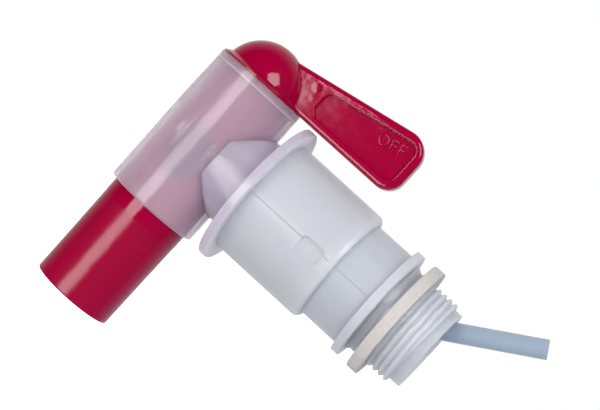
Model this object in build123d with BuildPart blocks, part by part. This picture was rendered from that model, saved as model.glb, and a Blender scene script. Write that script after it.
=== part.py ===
"""Vented drain cock for a drum or canister: moulded body, quarter-turn key, washer and air tube."""
import os
from math import asin, cos, degrees, radians, sin, sqrt, tan

from build123d import *

os.makedirs("parts", exist_ok=True)

# Millimetres. +X runs out of the thread into the container, +Z up the key's axis.
# The origin is on the spigot's axis, in the washer's sealing face.

# Fits
RUN_GAP = 0.05
RIM_GAP = 0.08
LEVER_GAP = 0.58
BEAD_GAP = 0.12
WASHER_GAP = 0.08
SOCKET_GAP = 0.05

# Spigot, along X
STUB_LENGTH = 17.67
FLANGE_THICK = 2.4
COLLAR_LENGTH = 27.93
NECK_LENGTH = 11.47
RING_THICK = 2.85
WASHER_SETBACK = 3.13
WASHER_THICK = 3.25
THREAD_LENGTH = 13.98
LEAD_LENGTH = 2.58

# Spigot, across
SPIGOT_BORE = 10.3
SPIGOT_MOUTH = 10.6
STUB_WALL = 2.8
STUB_FLAT = 1.15
FLANGE_RADIUS = 21.26
FLANGE_ROUND = 0.4
COLLAR_RADIUS = 16.95
COLLAR_DRAFT = 0.14
SHOULDER_ROUND = 1.8
NECK_STEP = 2.23
RING_RADIUS = 16.66
RING_SLANT = 0.35
THREAD_RADIUS = 13.22
LEAD_STEP = 1.22
RUN_OUT_STEP = 0.2
WASHER_RADIUS = 16.97
WASHER_EDGE = 0.15

# Barrel
BARREL_BORE = 11.8
BARREL_WALL = 1.73
BARREL_DRAFT = 0.22
BARREL_DROP = 21.34
RIM_ROUND = 0.25
FOOT_ROUND = 0.7
WEB = 3.2

# Key
KEY_WALL = 2.4
SPOUT_LENGTH = 30.8
SPOUT_STEP = 0.08
SPOUT_TAPER = 0.18
SPOUT_ROUND = 0.4
SPOUT_BORE_TAPER = 0.35
LAND_LENGTH = 4.06
LEDGE_SET_IN = 0.15
LEDGE_EDGE = 0.35
LEDGE_HEIGHT = 1.38
DOME_SET_IN = 0.25
DOME_SINK = 0.42
BEAD_DEPTH = 1.9
BEAD_OUT = 0.3
BEAD_HALF = 0.15
BEAD_RISE = 0.4

# Lever
LEVER_LENGTH = 45.15
LEVER_THICK = 6.4
LEVER_HEIGHT = 9.55
LEVER_SLOPE = 10.3
LEVER_LOW_CORNER = 5.0
LEVER_TOP_CORNER = 5.8
LEVER_EDGE = 1.2
LEVER_ROOT = 0.35
PANEL_START = 15.3
PANEL_MARGIN = 2.5
PANEL_CORNER = 2.6
PANEL_DEPTH = 1.0
PANEL_LIP = 0.4

# Passages through wall and plug
PORT_HEIGHT = 15.7
PORT_WIDTH = 12.0
PORT_Z = -3.6
PORT_LAP = 1.15
WAY_LEDGE = 0.4
AIR_Z = 8.5
AIR_HEIGHT = 4.2
AIR_DEPTH = 1.1
AIR_FROM = 165
AIR_TO = 280
VENT_BORE = 1.5
VENT_WALL = 1.2
VENT_OFFSET = 8.3

# Air tube and its socket
TUBE_RADIUS = 2.6
TUBE_WALL = 0.85
TUBE_Z = 7.4
TUBE_TIP_X = 31.75
TUBE_TIP_Z = 20.3
TUBE_RISE = 32.0
TUBE_ELBOW_IN = 2.6
TUBE_ELBOW = 10.0
TUBE_EASE = 60.0
SOCKET_DEPTH = 6.0
SOCKET_SEAT = 1.0
SOCKET_WALL = 1.3

# Sunk gate on the collar
GATE_LENGTH = 6.8
GATE_HEIGHT = 5.2
GATE_SETBACK = 3.75
GATE_Z = -1.3
GATE_SINK = 0.85
GATE_CORNER = 1.1
GATE_STUB = 0.9
GATE_STUB_AHEAD = 0.2
GATE_STUB_HEIGHT = 0.3

# Places that follow from the sizes, along X
RING_END = -WASHER_THICK - WASHER_SETBACK
RING_X = RING_END - RING_THICK
NECK_X = RING_X - NECK_LENGTH
COLLAR_X = NECK_X - COLLAR_LENGTH
FLANGE_X = COLLAR_X - FLANGE_THICK
KEY_X = FLANGE_X - STUB_LENGTH
THREAD_END = RING_END + THREAD_LENGTH
MOUTH_X = THREAD_END + LEAD_LENGTH
GATE_X = NECK_X - GATE_SETBACK - GATE_LENGTH / 2
WEB_X = KEY_X + BARREL_BORE + WEB
SOCKET_FOOT = WEB_X + SOCKET_SEAT
SOCKET_MOUTH = SOCKET_FOOT + SOCKET_DEPTH

# Radii and heights that follow
STUB_RADIUS = SPIGOT_BORE + STUB_WALL
NECK_RADIUS = COLLAR_RADIUS - NECK_STEP
BARREL_RADIUS = BARREL_BORE + BARREL_WALL
RIM_RADIUS = BARREL_RADIUS - BARREL_DRAFT
LEAD_RADIUS = THREAD_RADIUS - LEAD_STEP
RUN_OUT_RADIUS = THREAD_RADIUS - RUN_OUT_STEP
BARREL_TOP = FLANGE_RADIUS + LEVER_GAP
BEAD_Z = BARREL_TOP - BEAD_DEPTH
GROOVE_DEPTH = BEAD_OUT - RUN_GAP + BEAD_GAP
GROOVE_HALF = BEAD_HALF + BEAD_GAP
SOCKET_RADIUS = TUBE_RADIUS + SOCKET_GAP
WAY_HEIGHT = 2 * (SPIGOT_BORE - WAY_LEDGE + PORT_Z)

KEY_RADIUS = BARREL_BORE - RUN_GAP
KEY_BORE = KEY_RADIUS - KEY_WALL
SPOUT_RADIUS = KEY_RADIUS - SPOUT_STEP
SPOUT_END = -BARREL_DROP - SPOUT_LENGTH
LAND_END = -BARREL_DROP - LAND_LENGTH
LEDGE_Z = BARREL_TOP + RIM_GAP
LEDGE_TOP = LEDGE_Z + LEDGE_HEIGHT
LEDGE_RADIUS = RIM_RADIUS - LEDGE_SET_IN
DOME_RADIUS = KEY_RADIUS - DOME_SET_IN
DOME_Z = LEDGE_Z - DOME_SINK
DOME_FOOT = sqrt(DOME_RADIUS**2 - (LEDGE_TOP - DOME_Z) ** 2)
DOME_START = degrees(asin((LEDGE_TOP - DOME_Z) / DOME_RADIUS))
ROOT_ARC = sqrt(DOME_RADIUS**2 - (LEVER_THICK / 2) ** 2)
PANEL_END = LEVER_LENGTH - PANEL_MARGIN
VENT_RADIUS = VENT_BORE + VENT_WALL
VENT_TOP = AIR_Z + AIR_HEIGHT / 2 + VENT_WALL
ELBOW_X = MOUTH_X - TUBE_ELBOW_IN
ELBOW_Z = TUBE_TIP_Z - (TUBE_TIP_X - ELBOW_X) * tan(radians(TUBE_RISE))

key_axis = Axis((KEY_X, 0, 0), (0, 0, 1))
key_plane = Plane((KEY_X, 0, 0), x_dir=(1, 0, 0), z_dir=(0, -1, 0))


def blade_top(x, inset=0):
    """Height of the lever's sloping top edge at x from the key's axis, moved in by inset."""
    slope = radians(LEVER_SLOPE)
    return LEDGE_Z + LEVER_HEIGHT + x * tan(slope) - inset / cos(slope)


def upright(angle):
    """Plane through the key's axis, its own x pointing away from the axis at angle from +X."""
    a = radians(angle)
    return Plane((KEY_X, 0, 0), x_dir=(cos(a), sin(a), 0), z_dir=(sin(a), -cos(a), 0))


def facing(angle, distance):
    """Plane that faces away from the key's axis at angle, at a distance from it."""
    a = radians(angle)
    centre = (KEY_X + distance * cos(a), distance * sin(a), 0)
    return Plane(centre, x_dir=(-sin(a), cos(a), 0), z_dir=(cos(a), sin(a), 0))


# Body: the closed outer form first, then the bores, and the tube's socket inside them
with BuildPart() as body:
    with BuildSketch(key_plane):
        with BuildLine():
            FilletPolyline(
                (0, -BARREL_DROP),
                (BARREL_RADIUS - BARREL_DRAFT, -BARREL_DROP),
                (BARREL_RADIUS, 0),
                (RIM_RADIUS, BARREL_TOP),
                (0, BARREL_TOP),
                radius=[FOOT_ROUND, 0, RIM_ROUND],
            )
            Line((0, BARREL_TOP), (0, -BARREL_DROP))
        make_face()
    revolve(axis=key_axis)

    with BuildSketch(Plane.YZ.offset(KEY_X)):
        Circle(STUB_RADIUS)
        Rectangle(2 * (STUB_RADIUS - STUB_FLAT), 2 * STUB_RADIUS, mode=Mode.INTERSECT)
    extrude(amount=STUB_LENGTH)

    with BuildSketch(Plane.XZ):
        with BuildLine():
            FilletPolyline(
                (FLANGE_X, 0),
                (FLANGE_X, FLANGE_RADIUS),
                (COLLAR_X, FLANGE_RADIUS),
                (COLLAR_X, COLLAR_RADIUS),
                (NECK_X, COLLAR_RADIUS - COLLAR_DRAFT),
                (NECK_X, NECK_RADIUS),
                (RING_X, NECK_RADIUS),
                (RING_X + RING_SLANT, RING_RADIUS),
                (RING_END - RING_SLANT, RING_RADIUS),
                (RING_END, RUN_OUT_RADIUS),
                (WASHER_GAP, RUN_OUT_RADIUS),
                (WASHER_GAP, THREAD_RADIUS),
                (THREAD_END, THREAD_RADIUS),
                (THREAD_END, LEAD_RADIUS),
                (MOUTH_X, LEAD_RADIUS),
                (MOUTH_X, 0),
                radius=[FLANGE_ROUND, FLANGE_ROUND, 0, SHOULDER_ROUND] + 10 * [0],
            )
            Line((MOUTH_X, 0), (FLANGE_X, 0))
        make_face()
    revolve(axis=Axis.X)

    # Barrel bore, with the groove that takes the key's bead
    with BuildSketch(key_plane):
        with BuildLine():
            Polyline(
                (0, -BARREL_DROP),
                (BARREL_BORE, -BARREL_DROP),
                (BARREL_BORE, BEAD_Z - GROOVE_HALF - BEAD_RISE),
                (BARREL_BORE + GROOVE_DEPTH, BEAD_Z - GROOVE_HALF),
                (BARREL_BORE + GROOVE_DEPTH, BEAD_Z + GROOVE_HALF),
                (BARREL_BORE, BEAD_Z + GROOVE_HALF),
                (BARREL_BORE, BARREL_TOP - RIM_ROUND),
                (BARREL_BORE + RIM_ROUND, BARREL_TOP),
                (0, BARREL_TOP),
                close=True,
            )
        make_face()
    revolve(axis=key_axis, mode=Mode.SUBTRACT)

    # Spigot bore, widening to its mouth, down to the wall in front of the key
    with BuildSketch(Plane.XZ):
        with BuildLine():
            Polyline(
                (WEB_X, 0),
                (WEB_X, SPIGOT_BORE),
                (MOUTH_X, SPIGOT_MOUTH),
                (MOUTH_X, 0),
                close=True,
            )
        make_face()
    revolve(axis=Axis.X, mode=Mode.SUBTRACT)

    # Liquid way through that wall
    with BuildSketch(Plane.YZ.offset(KEY_X)):
        with Locations((0, PORT_Z)):
            SlotOverall(WAY_HEIGHT, PORT_WIDTH - PORT_LAP, rotation=90)
    extrude(amount=SOCKET_FOOT - KEY_X, mode=Mode.SUBTRACT)

    # Socket for the air tube, and the duct from its foot to the barrel bore
    with BuildSketch(Plane.YZ.offset(WEB_X)):
        with Locations((0, TUBE_Z)):
            Circle(SOCKET_RADIUS + SOCKET_WALL)
    extrude(amount=SOCKET_MOUTH - WEB_X)
    with BuildSketch(Plane.YZ.offset(SOCKET_FOOT)):
        with Locations((0, TUBE_Z)):
            Circle(SOCKET_RADIUS)
    extrude(amount=SOCKET_DEPTH, mode=Mode.SUBTRACT)
    with BuildSketch(Plane.YZ.offset(KEY_X)):
        with Locations((0, TUBE_Z)):
            Circle(TUBE_RADIUS - TUBE_WALL)
    extrude(amount=SOCKET_FOOT - KEY_X, mode=Mode.SUBTRACT)

    # Sunk gate on the collar's side, with the stub that the runner leaves
    with BuildSketch(Plane.XZ.offset(COLLAR_RADIUS - GATE_SINK)):
        with Locations((GATE_X, GATE_Z)):
            RectangleRounded(GATE_LENGTH, GATE_HEIGHT, GATE_CORNER)
    extrude(amount=COLLAR_RADIUS, mode=Mode.SUBTRACT)
    with BuildSketch(Plane.XZ.offset(COLLAR_RADIUS - GATE_SINK)):
        with Locations((GATE_X + GATE_STUB_AHEAD, GATE_Z)):
            Circle(GATE_STUB)
    extrude(amount=GATE_STUB_HEIGHT)

body.part.label = "body"
export_step(body.part, "parts/body.step")


# Lever blade: a flat plate with rounded edges and a sunk panel on each side
with BuildPart() as blade:
    with BuildSketch(key_plane):
        with BuildLine():
            FilletPolyline(
                (0, LEDGE_Z),
                (LEVER_LENGTH, LEDGE_Z),
                (LEVER_LENGTH, blade_top(LEVER_LENGTH)),
                (0, blade_top(0)),
                radius=[LEVER_LOW_CORNER, LEVER_TOP_CORNER],
            )
            Line((0, blade_top(0)), (0, LEDGE_Z))
        make_face()
    extrude(amount=LEVER_THICK / 2, both=True)
    outline = blade.faces().filter_by(Axis.Y).edges()
    fillet(outline.sort_by(Axis.X)[2:], LEVER_EDGE)

    for side in (-1, 1):
        with BuildSketch(key_plane.offset(side * (LEVER_THICK / 2 - PANEL_DEPTH))):
            with BuildLine():
                FilletPolyline(
                    (PANEL_START, LEDGE_Z + PANEL_MARGIN),
                    (PANEL_END, LEDGE_Z + PANEL_MARGIN),
                    (PANEL_END, blade_top(PANEL_END, PANEL_MARGIN)),
                    (PANEL_START, blade_top(PANEL_START, PANEL_MARGIN)),
                    radius=PANEL_CORNER,
                    close=True,
                )
            make_face()
        extrude(amount=side * LEVER_THICK, mode=Mode.SUBTRACT)
    lips = blade.faces().filter_by(Axis.Y).sort_by(Axis.Y)
    fillet([lips[0].inner_wires()[0].edges(), lips[-1].inner_wires()[0].edges()], PANEL_LIP)


# Key: turned plug, spout, ledge and dome, joined to the blade and then bored out
with BuildPart() as key:
    with BuildSketch(key_plane):
        with BuildLine():
            FilletPolyline(
                (0, SPOUT_END),
                (SPOUT_RADIUS - SPOUT_TAPER, SPOUT_END),
                (SPOUT_RADIUS, LAND_END),
                (KEY_RADIUS, LAND_END),
                (KEY_RADIUS, BEAD_Z - BEAD_HALF - BEAD_RISE),
                (KEY_RADIUS + BEAD_OUT, BEAD_Z - BEAD_HALF),
                (KEY_RADIUS + BEAD_OUT, BEAD_Z + BEAD_HALF),
                (KEY_RADIUS, BEAD_Z + BEAD_HALF),
                (KEY_RADIUS, LEDGE_Z),
                (LEDGE_RADIUS, LEDGE_Z),
                (LEDGE_RADIUS, LEDGE_Z + LEDGE_EDGE),
                (DOME_FOOT, LEDGE_TOP),
                radius=[SPOUT_ROUND, 0, 0, 0, 0, 0, 0, 0, 0, 0],
            )
            CenterArc((0, DOME_Z), DOME_RADIUS, DOME_START, 90 - DOME_START)
            Line((0, DOME_Z + DOME_RADIUS), (0, SPOUT_END))
        make_face()
    revolve(axis=key_axis)
    add(blade.part)

    on_dome = key.edges().filter_by(GeomType.CIRCLE).filter_by(lambda e: abs(e.radius - ROOT_ARC) < 0.01)
    fillet(on_dome, LEVER_ROOT)

    # Hollow from the spout's mouth up into the dome
    with BuildSketch(key_plane):
        with BuildLine():
            Polyline(
                (0, SPOUT_END),
                (KEY_BORE + SPOUT_BORE_TAPER, SPOUT_END),
                (KEY_BORE, LAND_END),
                (KEY_BORE, DOME_Z),
            )
            CenterArc((0, DOME_Z), KEY_BORE, 0, 90)
            Line((0, DOME_Z + KEY_BORE), (0, SPOUT_END))
        make_face()
    revolve(axis=key_axis, mode=Mode.SUBTRACT)

    # Vent: a small tube up the inside of the spout, opening into the air groove
    with BuildSketch(Plane.XY.offset(SPOUT_END)):
        with Locations((KEY_X - VENT_OFFSET, 0)):
            Circle(VENT_RADIUS)
    extrude(amount=VENT_TOP - SPOUT_END)
    with BuildSketch(Plane.XY.offset(SPOUT_END)):
        with Locations((KEY_X - VENT_OFFSET, 0)):
            Circle(VENT_BORE)
    extrude(amount=AIR_Z + VENT_BORE - SPOUT_END, mode=Mode.SUBTRACT)
    with BuildSketch(facing(180, VENT_OFFSET)):
        with Locations((0, AIR_Z)):
            Circle(VENT_BORE)
    extrude(amount=KEY_RADIUS, mode=Mode.SUBTRACT)

    # Air groove round part of the plug, with round ends
    with BuildSketch(upright(AIR_FROM)):
        with Locations((KEY_RADIUS, AIR_Z)):
            Rectangle(2 * AIR_DEPTH, AIR_HEIGHT)
    revolve(axis=key_axis, revolution_arc=AIR_TO - AIR_FROM, mode=Mode.SUBTRACT)
    for angle in (AIR_FROM, AIR_TO):
        with BuildSketch(facing(angle, KEY_RADIUS - AIR_DEPTH)):
            with Locations((0, AIR_Z)):
                Circle(AIR_HEIGHT / 2)
        extrude(amount=2 * AIR_DEPTH, mode=Mode.SUBTRACT)

    # Port on one side of the plug
    with BuildSketch(key_plane.offset(VENT_RADIUS)):
        with Locations((0, PORT_Z)):
            SlotOverall(PORT_HEIGHT, PORT_WIDTH, rotation=90)
    extrude(amount=KEY_RADIUS, mode=Mode.SUBTRACT)

key.part.label = "key"
export_step(key.part, "parts/key.step")


# Washer on the thread
with BuildPart() as washer:
    with BuildSketch(Plane.YZ.offset(-WASHER_THICK)):
        Circle(WASHER_RADIUS)
        Circle(THREAD_RADIUS + WASHER_GAP, mode=Mode.SUBTRACT)
    extrude(amount=WASHER_THICK)
    chamfer(washer.edges().filter_by(GeomType.CIRCLE).group_by(SortBy.RADIUS)[-1], WASHER_EDGE)

washer.part.label = "washer"
export_step(washer.part, "parts/washer.step")


# Air tube: straight in its socket, easing down the bore, then bent up out of the mouth
with BuildPart() as air_tube:
    with BuildLine() as route:
        FilletPolyline(
            (SOCKET_FOOT, 0, TUBE_Z),
            (SOCKET_MOUTH + SOCKET_DEPTH, 0, TUBE_Z),
            (ELBOW_X, 0, ELBOW_Z),
            (TUBE_TIP_X, 0, TUBE_TIP_Z),
            radius=[TUBE_EASE, TUBE_ELBOW],
        )
    with BuildSketch(Plane.YZ.offset(SOCKET_FOOT)):
        with Locations((0, TUBE_Z)):
            Circle(TUBE_RADIUS)
            Circle(TUBE_RADIUS - TUBE_WALL, mode=Mode.SUBTRACT)
    sweep(path=route.wires()[0])

air_tube.part.label = "air_tube"
export_step(air_tube.part, "parts/air_tube.step")
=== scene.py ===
"""Vented drain cock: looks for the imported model, with camera and soft studio light."""

import bmesh
import bpy
import numpy as np
from mathutils import Matrix, Vector


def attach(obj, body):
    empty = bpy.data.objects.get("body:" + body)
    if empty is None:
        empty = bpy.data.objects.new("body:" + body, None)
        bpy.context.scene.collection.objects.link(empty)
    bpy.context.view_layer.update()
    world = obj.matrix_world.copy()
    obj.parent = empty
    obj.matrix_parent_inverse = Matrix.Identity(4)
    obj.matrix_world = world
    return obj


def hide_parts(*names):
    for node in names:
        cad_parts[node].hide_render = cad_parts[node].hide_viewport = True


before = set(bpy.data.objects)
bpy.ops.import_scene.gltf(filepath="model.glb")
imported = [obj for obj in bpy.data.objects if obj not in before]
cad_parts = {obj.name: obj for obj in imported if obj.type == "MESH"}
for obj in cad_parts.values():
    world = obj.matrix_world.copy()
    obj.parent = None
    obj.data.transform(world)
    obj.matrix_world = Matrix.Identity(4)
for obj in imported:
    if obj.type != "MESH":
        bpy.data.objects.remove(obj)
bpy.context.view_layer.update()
mm = 0.001

# Camera
# A long lens looks at the tap almost along +Y, a little from the right and from above.
# The picture is turned, because the tap lies slantwise in it.
sight_turn, sight_dip, picture_roll = np.radians([8.874, 1.307, 42.157])
aim = np.array([-39.812, 0.0, 5.173]) * mm
sight_length = 444.873 * mm

level_right = np.array([np.cos(sight_turn), np.sin(sight_turn), 0.0])
level_ahead = np.array([-np.sin(sight_turn), np.cos(sight_turn), 0.0])
sky = np.array([0.0, 0.0, 1.0])
ahead = np.cos(sight_dip) * level_ahead - np.sin(sight_dip) * sky
steep_up = np.sin(sight_dip) * level_ahead + np.cos(sight_dip) * sky
picture_right = np.cos(picture_roll) * level_right + np.sin(picture_roll) * steep_up
picture_up = np.cos(picture_roll) * steep_up - np.sin(picture_roll) * level_right


def placed(right, up, back, where):
    """Matrix of an object at where, whose own x, y and z point along right, up and back."""
    turn = Matrix([list(right), list(up), list(back)]).transposed().to_4x4()
    return Matrix.Translation(Vector(where)) @ turn


lens = bpy.data.cameras.new("camera")
lens.lens = 103.525
lens.sensor_width = 36.0
lens.clip_start = 0.01
camera = bpy.data.objects.new("camera", lens)
camera.matrix_world = placed(picture_right, picture_up, -ahead, aim - ahead * sight_length)
bpy.context.scene.collection.objects.link(camera)
bpy.context.scene.camera = camera
bpy.context.scene.view_settings.view_transform = "Standard"


# Tap body
# One injection moulding in milky polyethylene: barrel, stub, flange, collar, neck and spigot.
# The thin barrel lets the red plug show through, and the thick collar hides what is inside.
# Its thread is rolled out here as a helix, and the mould's joint line is a fine raised bead.
ring_end, deepens_from, deepens_to, thread_end, mouth = -6.38, -0.22, 1.18, 7.6, 10.18
crest_radius, root_radius, lead_radius, crest_round = 13.34, 12.36, 12.0, 0.6
land_radius, land_depth, ring_foot, ring_foot_length = 12.95, 0.28, 0.7, 1.5
pitch, thread_shift, end_lean, fades_before, fades_after = 1.814, -0.5, 0.45, 0.45, 0.1
key_x, barrel_radius, stub_flat = -68.7, 13.53, 11.95
flange_radius, collar_radius, ring_radius, neck_radius, stub_radius = 21.26, 16.95, 16.66, 14.72, 13.1
flange_x, collar_x, neck_x, ring_x = -51.03, -48.63, -20.70, -9.23
gate_from, gate_to, groove_z, rim_radius, rim_z = -31.25, -24.45, 19.94, 13.237, 21.767


def swell(x, low, high):
    """Smooth step from 0 at low to 1 at high: three t squared less two t cubed."""
    t = np.clip((x - low) / (high - low), 0, 1)
    return t * t * (3 - 2 * t)


def thread_radius(x, turn):
    """Root radius plus a rounded tooth, which repeats each pitch along x and turns once round in that.

    Behind the washer the tooth is only a ripple on the land, which swells to the ring's foot. It
    reaches full depth past the washer, and drops to the plain lead at an end that leans with the turn.
    """
    tooth = 0.5 + 0.5 * np.cos(2 * np.pi * ((x - thread_shift) / pitch - turn / (2 * np.pi)))
    past = swell(x, deepens_from, deepens_to)
    foot = ring_foot * (1 - swell(x, ring_end, ring_end + ring_foot_length))
    root = land_radius + (root_radius - land_radius) * past + foot
    depth = land_depth + (crest_radius - root_radius - land_depth) * past
    end = thread_end + end_lean * np.sin(turn)
    kept = 1 - swell(x, end - fades_before, end + fades_after)
    return lead_radius + (root + depth * tooth**crest_round - lead_radius) * kept


def wall_grid(rows, columns):
    """Faces of a grid of points that is closed round its columns, wound away from the axis."""
    i = np.arange(rows - 1)[:, None]
    j = np.arange(columns)[None, :]
    k = (j + 1) % columns
    corners = [i * columns + j, i * columns + k, (i + 1) * columns + k, (i + 1) * columns + j]
    return np.stack(np.broadcast_arrays(*corners), -1).reshape(-1, 4)


def face_corners(mesh):
    """Of each face corner of a mesh: its point, the normal of its face, and its own normal."""
    points = np.empty((len(mesh.vertices), 3))
    mesh.vertices.foreach_get("co", points.ravel())
    at = np.empty(len(mesh.loops), int)
    mesh.loops.foreach_get("vertex_index", at)
    sides = np.empty(len(mesh.polygons), int)
    mesh.polygons.foreach_get("loop_total", sides)
    flat = np.empty((len(mesh.polygons), 3))
    mesh.polygons.foreach_get("normal", flat.ravel())
    own = np.empty((len(mesh.loops), 3))
    mesh.corner_normals.foreach_get("vector", own.ravel())
    return points[at] / mm, np.repeat(flat, sides, axis=0), own


def away_from(corner, axis, through):
    """Distance of each corner from the line along one axis (0 for x, 2 for z), and the way off it."""
    off = corner - np.array(through)
    off[:, axis] = 0
    distance = np.linalg.norm(off, axis=1)
    return distance, off / distance[:, None]


# The plain wall of the CAD spigot is cut out, and the helix is bridged into the hole.
rows, columns, hair = 190, 240, 0.004
along, turn = np.meshgrid(
    np.linspace(ring_end + hair, mouth - hair, rows),
    np.linspace(0, 2 * np.pi, columns, endpoint=False),
    indexing="ij",
)
reach = thread_radius(along, turn)
thread_points = np.stack([along, reach * np.cos(turn), reach * np.sin(turn)], -1).reshape(-1, 3)

shell = bmesh.new()
shell.from_mesh(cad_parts["body"].data)
bmesh.ops.remove_doubles(shell, verts=shell.verts, dist=1e-6)
merged = bpy.data.meshes.new("merged")
shell.to_mesh(merged)
wall_slack, off_bore, rim_reach = 0.01, 0.1, 0.1
corner = face_corners(merged)[0].reshape(-1, 3, 3)
nearest_x, nearest_out = corner[..., 0].min(1), np.hypot(corner[..., 1], corner[..., 2]).min(1)
plain_wall = (nearest_x > ring_end - wall_slack) & (nearest_out > lead_radius - off_bore)
shell.faces.ensure_lookup_table()
bmesh.ops.delete(shell, geom=[shell.faces[i] for i in np.flatnonzero(plain_wall)], context="FACES")
helix = bpy.data.meshes.new("helix")
helix.from_pydata((thread_points * mm).tolist(), [], wall_grid(rows, columns).tolist())
shell.from_mesh(helix)
open_edges = [e for e in shell.edges if e.is_boundary]
for place_x in (ring_end, mouth):
    near = [e for e in open_edges if abs(e.verts[0].co.x / mm - place_x) < rim_reach]
    bmesh.ops.bridge_loops(shell, edges=near)
bmesh.ops.recalc_face_normals(shell, faces=shell.faces)
tap_mesh = bpy.data.meshes.new("tap_moulding")
shell.to_mesh(tap_mesh)
shell.free()
packed_normals = tap_mesh.attributes.get("custom_normal")
if packed_normals:
    tap_mesh.attributes.remove(packed_normals)
tap_mesh.shade_smooth()
tap_mesh.set_sharp_from_angle(angle=np.radians(32))

# The long triangles of the turned walls would bend their shading, so there each corner's normal
# points straight off the axis instead, which also crowns the stub's two flats a little. From the
# collar on, the steps and teeth lean about halfway to it, because light spreads in the thick wall.
corner, flat, own = face_corners(tap_mesh)
spigot_line, barrel_draft, disc_draft, slack = (0, 0, 0), 0.3, 0.16, 0.02
under_lead, straight_out, roughly_out, barely_out, lean = 0.2, 0.996, 0.9, 0.03, 0.55
turned = [(2, (key_x, 0, 0), barrel_radius - barrel_draft, barrel_radius, straight_out, ring_end)]
for radius in (flange_radius, collar_radius, ring_radius, neck_radius):
    turned.append((0, spigot_line, radius - disc_draft, radius, straight_out, ring_end))
turned.append((0, spigot_line, stub_flat, stub_radius, roughly_out, flange_x))
for axis, through, low, high, least, until_x in turned:
    distance, away = away_from(corner, axis, through)
    wall = (distance > low - slack) & (distance < high + slack) & ((flat * away).sum(1) > least)
    wall &= corner[:, 0] < until_x
    own[wall] = away[wall]
distance, away = away_from(corner, 0, spigot_line)
leaning = (distance > lead_radius - under_lead) & ((flat * away).sum(1) > barely_out)
leaning &= corner[:, 0] > collar_x
own[leaning] = (1 - lean) * own[leaning] + lean * away[leaning]
own /= np.linalg.norm(own, axis=1)[:, None]
tap_mesh.normals_split_custom_set(own.tolist())
tap_moulding = bpy.data.objects.new("tap_moulding", tap_mesh)
bpy.context.scene.collection.objects.link(tap_moulding)


def bead(path, outward, half_width, height, closed=False):
    """Raised line along a path: across it the height is a root of a sine, over a foot sunk in the wall.

    Gives the points, row by row, the four-sided faces, and the faces that cap its ends. A closed path
    has no ends, and joins its last row to its first.
    """
    foot, steps = -0.06, 7
    path = np.asarray(path, float)
    outward = np.broadcast_to(np.asarray(outward, float), path.shape)
    ahead_of = np.roll(path, -1, 0) - np.roll(path, 1, 0) if closed else np.gradient(path, axis=0)
    across = np.cross(ahead_of, outward)
    across /= np.linalg.norm(across, axis=1)[:, None]
    angle = np.linspace(0, np.pi, steps)
    side = half_width * np.concatenate([[1], np.cos(angle), [-1]])
    lift = np.concatenate([[foot], height * np.sqrt(np.abs(np.sin(angle))), [foot]])
    points = path[:, None] + side[:, None] * across[:, None] + lift[:, None] * outward[:, None]
    count, around = len(path), len(side)
    faces = wall_grid(count + 1 if closed else count, around) % (count * around)
    first = np.arange(around)
    caps = np.stack([first, (first + (count - 1) * around)[::-1]])
    return points.reshape(-1, 3), faces, caps[:0] if closed else caps


def piece(name, parts, finish, body):
    """New object made of several beads, whose points, in millimetres, are numbered on from bead to bead."""
    points, faces, caps = zip(*parts)
    start = np.cumsum([0] + [len(part) for part in points[:-1]])
    faces = np.concatenate([part + shift for part, shift in zip(faces, start)]).tolist()
    caps = np.concatenate([part + shift for part, shift in zip(caps, start)]).tolist()
    mesh = bpy.data.meshes.new(name)
    mesh.from_pydata((np.concatenate(points) * mm).tolist(), [], faces + caps)
    whole = bmesh.new()
    whole.from_mesh(mesh)
    bmesh.ops.recalc_face_normals(whole, faces=whole.faces)
    whole.to_mesh(mesh)
    whole.free()
    mesh.shade_smooth()
    mesh.set_sharp_from_angle(angle=np.radians(50))
    mesh.materials.append(finish)
    made = bpy.data.objects.new(name, mesh)
    bpy.context.scene.collection.objects.link(made)
    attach(made, body)


def material(name):
    """New node material, its node tree, and its Principled shader."""
    made = bpy.data.materials.new(name)
    made.use_nodes = True
    return made, made.node_tree, made.node_tree.nodes["Principled BSDF"]


def feed(tree, made, values):
    """Sets the sockets of a node, by name or number, each to a value or to another node's output."""
    for key, value in values.items():
        if isinstance(value, bpy.types.NodeSocket):
            tree.links.new(value, made.inputs[key])
        else:
            made.inputs[key].default_value = value
    return made


def node(tree, kind, values=None, **settings):
    """New shader node with these settings and these sockets fed."""
    made = tree.nodes.new(kind)
    for key, value in settings.items():
        setattr(made, key, value)
    return feed(tree, made, values or {})


def maths(tree, operation, *values):
    """Result of a maths node on these values."""
    return node(tree, "ShaderNodeMath", dict(enumerate(values)), operation=operation).outputs[0]


def vector_maths(tree, operation, *values, output="Vector"):
    """Result of a vector maths node on these values."""
    made = node(tree, "ShaderNodeVectorMath", dict(enumerate(values)), operation=operation)
    return made.outputs[output]


def ramp(tree, value, low, high, first=0.0, last=1.0, shape="LINEAR"):
    """Value carried from low to high over to first to last, and held at its ends beyond them."""
    ends = {"Value": value, "From Min": low, "From Max": high, "To Min": first, "To Max": last}
    return node(tree, "ShaderNodeMapRange", ends, interpolation_type=shape).outputs[0]


def risen(tree, value, low, high):
    """Smooth share, 0 to 1, of a value in metres between two lengths in millimetres."""
    return ramp(tree, value, low * mm, high * mm, shape="SMOOTHSTEP")


def blended(tree, share, low, high):
    """Colour that goes from low to high with the share."""
    ends = {"Factor": share, "A": low, "B": high}
    return node(tree, "ShaderNodeMix", ends, data_type="RGBA").outputs["Result"]


def colour(red, green, blue):
    """Linear colour from screen values of 0 to 255."""
    screen = np.array([red, green, blue]) / 255
    return (*np.where(screen < 0.04045, screen / 12.92, ((screen + 0.055) / 1.055) ** 2.4), 1.0)


def cloud(tree, place, scale, detail=2.0):
    """Noise from 0 to 1 with this many humps a metre."""
    look = {"Vector": place, "Scale": scale, "Detail": detail}
    return node(tree, "ShaderNodeTexNoise", look).outputs["Fac"]


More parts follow.
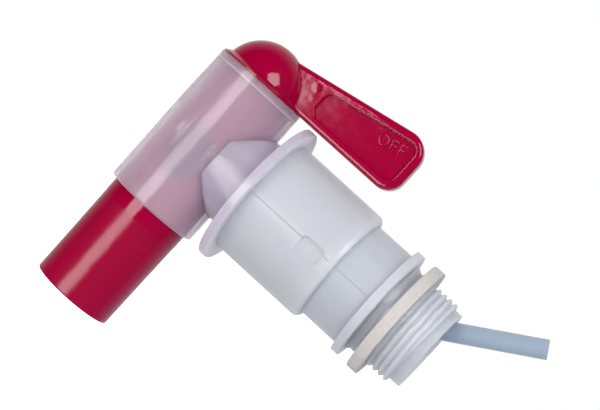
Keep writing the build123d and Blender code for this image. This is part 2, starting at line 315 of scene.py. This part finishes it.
def waves(tree, place, size, depth, detail=2.0):
    """Height in metres of a noise whose humps are about size apart, in metres too."""
    return maths(tree, "MULTIPLY", cloud(tree, place, 1 / size, detail), depth)


def raised(tree, height, strength):
    """Normal of a surface with this height in metres, at this strength."""
    look = {"Height": height, "Distance": 1.0, "Strength": strength}
    return node(tree, "ShaderNodeBump", look).outputs[0]


milky, tree, shader = material("milky_polyethylene")
place = node(tree, "ShaderNodeTexCoord").outputs["Object"]
spot = node(tree, "ShaderNodeSeparateXYZ", {0: place}).outputs
from_key = vector_maths(tree, "ADD", place, (-key_x * mm, 0, 0))
reach = vector_maths(tree, "LENGTH", vector_maths(tree, "MULTIPLY", from_key, (1, 1, 0)), output="Value")
drift = cloud(tree, place, 110.0, 3.0)


def clouded(low, high):
    """Colour of the milky plastic that drifts between two screen colours."""
    return blended(tree, drift, colour(*low), colour(*high))


# How much the plastic hides: little in the barrel's thin wall, more where that is seen aslant, at
# its snap groove and rim, and nearly all where the moulding is thick.
thin_wall, thick_wall, flange_adds, aslant_adds, line_adds, top_adds = 0.36, 0.88, 0.12, 0.25, 0.4, 0.2
flange_from, flange_to, aslant_from, aslant_to = 16, 21, 0.24, 0.60
off_barrel = risen(tree, reach, barrel_radius + 0.02, barrel_radius + 0.25)
facing = node(tree, "ShaderNodeLayerWeight", {"Blend": 0.5}).outputs["Facing"]
off_groove = maths(tree, "ABSOLUTE", maths(tree, "SUBTRACT", spot["Z"], groove_z * mm))
beside_groove = risen(tree, off_groove, 0.1, 0.4)
over_groove = risen(tree, spot["Z"], groove_z + 0.15, groove_z + 0.4)
at_rim = risen(tree, spot["Z"], rim_z - 0.25, rim_z - 0.05)
at_line = maths(tree, "MAXIMUM", maths(tree, "SUBTRACT", 1.0, beside_groove), at_rim)
milk = maths(tree, "MULTIPLY_ADD", off_barrel, thick_wall - thin_wall, thin_wall)
milk = maths(tree, "ADD", milk, ramp(tree, reach, flange_from * mm, flange_to * mm, 0.0, flange_adds))
aslant = ramp(tree, facing, aslant_from, aslant_to, 0.0, aslant_adds, "SMOOTHSTEP")
milk = maths(tree, "ADD", milk, aslant)
milk = maths(tree, "MULTIPLY_ADD", at_line, line_adds, milk)
milk = maths(tree, "MULTIPLY_ADD", over_groove, top_adds, milk)
milk.node.use_clamp = True

# Its colour, from the barrel over the stub and the collar to the neck, and its polish.
# The barrel's pink is painted light: it stands in for the red plug's glow spreading through the milky wall,
# beyond what shows through it directly.
tint = clouded((243, 209, 238), (253, 221, 250))
# A paler line is painted where the snap groove shows through the wall. Above it, a brighter pink band is
# painted light that lifts the shade under the red ledge.
tint = blended(tree, beside_groove, colour(246, 232, 242), tint)
tint = blended(tree, over_groove, tint, colour(255, 194, 220))
tint = blended(tree, off_barrel, tint, clouded((193, 184, 201), (202, 194, 210)))
on_collar = risen(tree, spot["X"], collar_x - 0.2, collar_x + 0.1)
tint = blended(tree, on_collar, tint, clouded((203, 205, 211), (212, 214, 219)))
on_neck = risen(tree, spot["X"], neck_x - 0.2, neck_x + 0.1)
tint = blended(tree, on_neck, tint, clouded((196, 199, 208), (205, 208, 216)))
polished, stub_dulled, collar_dulled = 0.12, 0.06, 0.16
rough = maths(tree, "MULTIPLY_ADD", off_barrel, stub_dulled, polished)
rough = maths(tree, "MULTIPLY_ADD", on_collar, collar_dulled, rough)
feed(tree, shader, {
    "Base Color": tint, "Roughness": rough, "Alpha": milk,
    "Normal": raised(tree, waves(tree, place, 5 * mm, 0.03 * mm), 0.6),
    "IOR": 1.5, "Specular IOR Level": 0.75,
    "Subsurface Weight": 1.0, "Subsurface Radius": (1.0, 1.0, 1.0), "Subsurface Scale": 8.0 * mm,
})
tap_mesh.materials.clear()
tap_mesh.materials.append(milky)
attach(tap_moulding, "tap_body")
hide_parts("body")

# The joint line runs on both sides of the mould, and stops at the sunk gate mark.
line_half, line_height = 0.045, 0.012
past_gate, before_gate, collar_end, shoulder = 0.121, 0.087, 0.131, 1.8
saddle = np.arccos(stub_flat / barrel_radius)
joint_lines = []
for side in (-1, 1):
    bend = np.linspace(np.pi / 2 - saddle, np.pi, 60)
    outward = np.stack([np.cos(bend), side * np.sin(bend), 0 * bend], -1)
    path = outward * barrel_radius + [key_x, 0, 0]
    joint_lines.append(bead(path, outward, line_half, line_height))
    saddle_x = key_x + barrel_radius * np.sin(saddle)
    straight = [
        (saddle_x, flange_x, stub_flat, stub_flat),
        (collar_x, gate_from, collar_radius, collar_radius - before_gate),
        (gate_to, neck_x - shoulder, collar_radius - past_gate, collar_radius - collar_end),
        (neck_x, ring_x, neck_radius, neck_radius),
    ]
    for low, high, off_low, off_high in straight:
        run = np.linspace(low, high, 3)
        path = np.stack([run, side * np.linspace(off_low, off_high, 3), 0 * run], -1)
        joint_lines.append(bead(path, (0, side, 0), line_half, line_height))
piece("joint_line", joint_lines, milky, "tap_body")

# A fine bead also fills the corner where the stub meets the barrel, and another edges the barrel's rim.
saddle_half, saddle_height, rim_half, rim_height = 0.14, 0.1, 0.12, 0.04
bend = np.linspace(0, 2 * np.pi, 160, endpoint=False)
off_axis = np.minimum(stub_radius, stub_flat / np.maximum(np.abs(np.cos(bend)), 0.01))
y, z = off_axis * np.cos(bend), off_axis * np.sin(bend)
out_of_barrel = np.sqrt(barrel_radius**2 - y**2)
path = np.stack([key_x + out_of_barrel, y, z], -1)
outward = np.stack([out_of_barrel, y, 0 * y], -1) / barrel_radius
outward += np.stack([0 * y, y, z], -1) / off_axis[:, None]
outward /= np.linalg.norm(outward, axis=1)[:, None]
edges = [bead(path, outward, saddle_half, saddle_height, True)]
outward = np.stack([np.cos(bend), np.sin(bend), 0 * bend + 1], -1) / np.sqrt(2)
path = np.stack([key_x + rim_radius * np.cos(bend), rim_radius * np.sin(bend), 0 * bend + rim_z], -1)
edges.append(bead(path, outward, rim_half, rim_height, True))
piece("barrel_edges", edges, milky, "tap_body")


# Key
# One injection moulding in crimson polypropylene: dome, lever, plug and spout.
# Its upper parts are polished in the mould, and the spout is spark-eroded below a glossy land. The
# gate that fed the mould has left a small raised mark on the root of the lever.
crimson, tree, shader = material("crimson_polypropylene")
place = node(tree, "ShaderNodeTexCoord").outputs["Object"]
spot = node(tree, "ShaderNodeSeparateXYZ", {0: place}).outputs
lever_from, lever_to, low_middle, high_middle, half_lever = key_x + 11, key_x + 45, 27.7, 30.8, 6
land_end, eroded_from, dish, past_root = -25.1, -25.7, 1.2e5, 0.2
mark_edge, mark_foot, mark_height = 0.3, 1.6, 0.11
eroded = ramp(tree, spot["Z"], land_end * mm, eroded_from * mm)
grain = maths(tree, "MULTIPLY", waves(tree, place, 0.22 * mm, 0.012 * mm, 1.0), eroded)
relief = maths(tree, "ADD", grain, waves(tree, place, 6 * mm, 0.14 * mm))
# The lever's faces are dished a little: they rise as the fourth power of the way off its middle line.
middle = ramp(tree, spot["X"], lever_from * mm, lever_to * mm, low_middle * mm, high_middle * mm)
on_lever = maths(tree, "GREATER_THAN", spot["X"], (lever_from + past_root) * mm)
off_middle = maths(tree, "MULTIPLY", maths(tree, "SUBTRACT", spot["Z"], middle), on_lever)
ends = {"Value": off_middle, "Min": -half_lever * mm, "Max": half_lever * mm}
off_middle = node(tree, "ShaderNodeClamp", ends).outputs[0]
relief = maths(tree, "MULTIPLY_ADD", maths(tree, "POWER", off_middle, 4.0), dish, relief)
gate_mark = np.array([-56.5, -3.2, 30.5]) * mm
from_mark = vector_maths(tree, "ADD", place, tuple(-gate_mark))
off_mark = vector_maths(tree, "LENGTH", from_mark, output="Value")
off_mark = risen(tree, off_mark, mark_edge, mark_foot)
relief = maths(tree, "MULTIPLY_ADD", off_mark, -mark_height * mm, relief)
feed(tree, shader, {
    "Base Color": blended(tree, cloud(tree, place, 60.0), colour(161, 0, 51), colour(169, 1, 58)),
    "Roughness": ramp(tree, eroded, 0.0, 1.0, 0.09, 0.2),
    "Normal": raised(tree, relief, 0.5),
    "IOR": 1.49, "Specular IOR Level": 0.5,
    "Subsurface Weight": 0.15, "Subsurface Radius": (1.0, 0.1, 0.1), "Subsurface Scale": 1.0 * mm,
})
key_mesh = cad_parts["key"].data
key_mesh.materials.clear()
key_mesh.materials.append(crimson)

# The word OFF on the panel's floor. Each stroke is a round-topped bead: a ring, and then twice a stem
# with an arm at its top and one at its waist.
panel_floor, word_x, word_z, lever_slope = -2.2, 32.95, 30.75, np.radians(10.3)
stroke_half, stroke_height, foot, cap, waist = 0.24, 0.26, -0.3, 2.8, 1.45
ring_half, ring_middle, top_arm, waist_arm, stems = 1.3, 1.1, 1.6, 1.3, (3.7, 6.15)
loop = np.linspace(0, 2 * np.pi, 40, endpoint=False)
ring = [ring_half + ring_half * np.sin(loop), ring_middle + cap / 2 * np.cos(loop)]
strokes = [(np.stack(ring, -1), True)]
for stem in stems:
    for start, end in (((0, 0), (0, cap)), ((0, cap), (top_arm, cap)), ((0, waist), (waist_arm, waist))):
        strokes.append((np.linspace(start, end, 3) + [stem, foot], False))
letters = []
for stroke, closed in strokes:
    a, b = stroke.T
    path = np.stack([
        key_x + word_x + a * np.cos(lever_slope) - b * np.sin(lever_slope),
        np.full(len(a), panel_floor),
        word_z + a * np.sin(lever_slope) + b * np.cos(lever_slope),
    ], -1)
    letters.append(bead(path, (0, -1, 0), stroke_half, stroke_height, closed))
piece("off_letters", letters, crimson, "key")

# A fine raised line where the lever's face runs into the dome.
dome_z, arc_radius, arc_y, leans_out, arc_half, arc_height = 21.5, 11.26, -3.26, 0.3, 0.14, 0.1
bend = np.linspace(np.radians(10), np.radians(60), 40)
outward = np.stack([leans_out * np.cos(bend), 0 * bend - 1, leans_out * np.sin(bend)], -1)
outward /= np.linalg.norm(outward, axis=1)[:, None]
arc = arc_radius * np.stack([np.cos(bend), 0 * bend, np.sin(bend)], -1)
root_line = bead(arc + [key_x, arc_y, dome_z], outward, arc_half, arc_height)
piece("root_line", [root_line], crimson, "key")


# Washer
# A flat ring punched from cream rubber and slipped over the thread. The container's bung presses on
# it when the tap is screwed in.
cream, tree, shader = material("cream_rubber")
place = node(tree, "ShaderNodeTexCoord").outputs["Object"]
speckle = cloud(tree, place, 900.0, 4.0)
feed(tree, shader, {
    "Base Color": blended(tree, speckle, colour(204, 198, 194), colour(220, 215, 211)),
    "Normal": raised(tree, waves(tree, place, 0.3 * mm, 0.02 * mm, 3.0), 0.4),
    "Roughness": 0.62, "Subsurface Weight": 0.2, "Subsurface Scale": 0.8 * mm,
})
washer_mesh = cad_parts["washer"].data
washer_mesh.materials.clear()
washer_mesh.materials.append(cream)


# Air tube
# A length of extruded pale blue tube, pushed into its socket in the body and bent by heat. It lets
# air into the container while the liquid runs out.
tubing, tree, shader = material("pale_tubing")
place = node(tree, "ShaderNodeTexCoord").outputs["Object"]
feed(tree, shader, {
    "Base Color": blended(tree, cloud(tree, place, 250.0), colour(166, 183, 205), colour(180, 196, 214)),
    "Roughness": 0.12, "IOR": 1.5, "Alpha": 0.8,
})
tube_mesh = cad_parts["air_tube"].data
tube_mesh.materials.clear()
tube_mesh.materials.append(tubing)


# Studio
# A pale floor lies well below the tap, inside a white surround. Softboxes left and right of the lens
# and behind the tap light it. Their sizes, and the floor's half width and height, are in metres.
wide, low = 6, -0.15
floor_mesh = bpy.data.meshes.new("floor")
square = [(-wide, -wide, low), (wide, -wide, low), (wide, wide, low), (-wide, wide, low)]
floor_mesh.from_pydata(square, [], [(0, 1, 2, 3)])
floor = bpy.data.objects.new("floor", floor_mesh)
bpy.context.scene.collection.objects.link(floor)
paper, tree, shader = material("paper")
feed(tree, shader, {"Base Color": (0.85, 0.85, 0.85, 1), "Roughness": 0.9, "Specular IOR Level": 0.0})
sight = node(tree, "ShaderNodeLightPath")
glow = node(tree, "ShaderNodeEmission", {"Strength": sight.outputs["Is Camera Ray"]})
both = node(tree, "ShaderNodeAddShader", {0: shader.outputs[0], 1: glow.outputs[0]})
tree.links.new(both.outputs[0], tree.nodes["Material Output"].inputs["Surface"])
floor_mesh.materials.append(paper)
floor.visible_glossy = False

# The surround is white to the eye. For soft light it is brightest overhead, and in reflections it
# stands behind the tap, with a little at the thread's end, where it is also bluer.
least_fill, most_fill, seen_behind, seen_beside = 0.07, 0.57, 0.7, 0.06
world = bpy.data.worlds.new("surround")
world.use_nodes = True
tree = world.node_tree
paths = node(tree, "ShaderNodeLightPath").outputs
way = node(tree, "ShaderNodeTexCoord").outputs["Generated"]
toward = node(tree, "ShaderNodeSeparateXYZ", {0: way}).outputs
overhead = vector_maths(tree, "DOT_PRODUCT", way, (0.4, 0, 0.9), output="Value")
fill = ramp(tree, overhead, -1.0, 1.0, least_fill, most_fill)
behind = ramp(tree, toward["Y"], 0.0, 0.8, 0.0, seen_behind)
beside = ramp(tree, toward["X"], 0.1, 0.9, 0.0, seen_beside)
around = maths(tree, "MAXIMUM", behind, beside)
by_ray = {"Factor": paths["Is Diffuse Ray"], "A": around, "B": fill}
around = node(tree, "ShaderNodeMix", by_ray).outputs[0]
cool = ramp(tree, toward["X"], 0.2, 1.0)
tone = blended(tree, cool, (1, 0.99, 0.97, 1), (0.45, 0.62, 1.0, 1))
feed(tree, tree.nodes["Background"], {
    "Strength": maths(tree, "MAXIMUM", paths["Is Camera Ray"], around),
    "Color": blended(tree, paths["Is Camera Ray"], tone, (1, 1, 1, 1)),
})
bpy.context.scene.world = world


def softbox(name, way, width, height, watts):
    """Area light that stands off the tap in this direction from it, and faces it."""
    stand_off = 0.9
    way = way / np.linalg.norm(way)
    side = np.cross(picture_up, way)
    side = side / np.linalg.norm(side)
    top = np.cross(way, side)
    light = bpy.data.lights.new(name, "AREA")
    light.shape = "RECTANGLE"
    light.size, light.size_y, light.energy = width, height, watts
    lamp = bpy.data.objects.new(name, light)
    lamp.matrix_world = placed(side, top, way, aim + stand_off * way)
    lamp.visible_camera = False
    bpy.context.scene.collection.objects.link(lamp)
    return lamp


left = 0.105 * picture_up - 0.507 * picture_right - ahead
right = 0.268 * picture_up + 0.700 * picture_right - ahead
behind_tap = np.array([-0.35, 0.9, 0.35])
softbox("softbox_left", left, width=0.37, height=0.90, watts=6.1)
softbox("softbox_right", right, width=0.45, height=0.45, watts=3.5)
softbox("softbox_behind", behind_tap, width=0.9, height=0.9, watts=2.8).visible_glossy = False
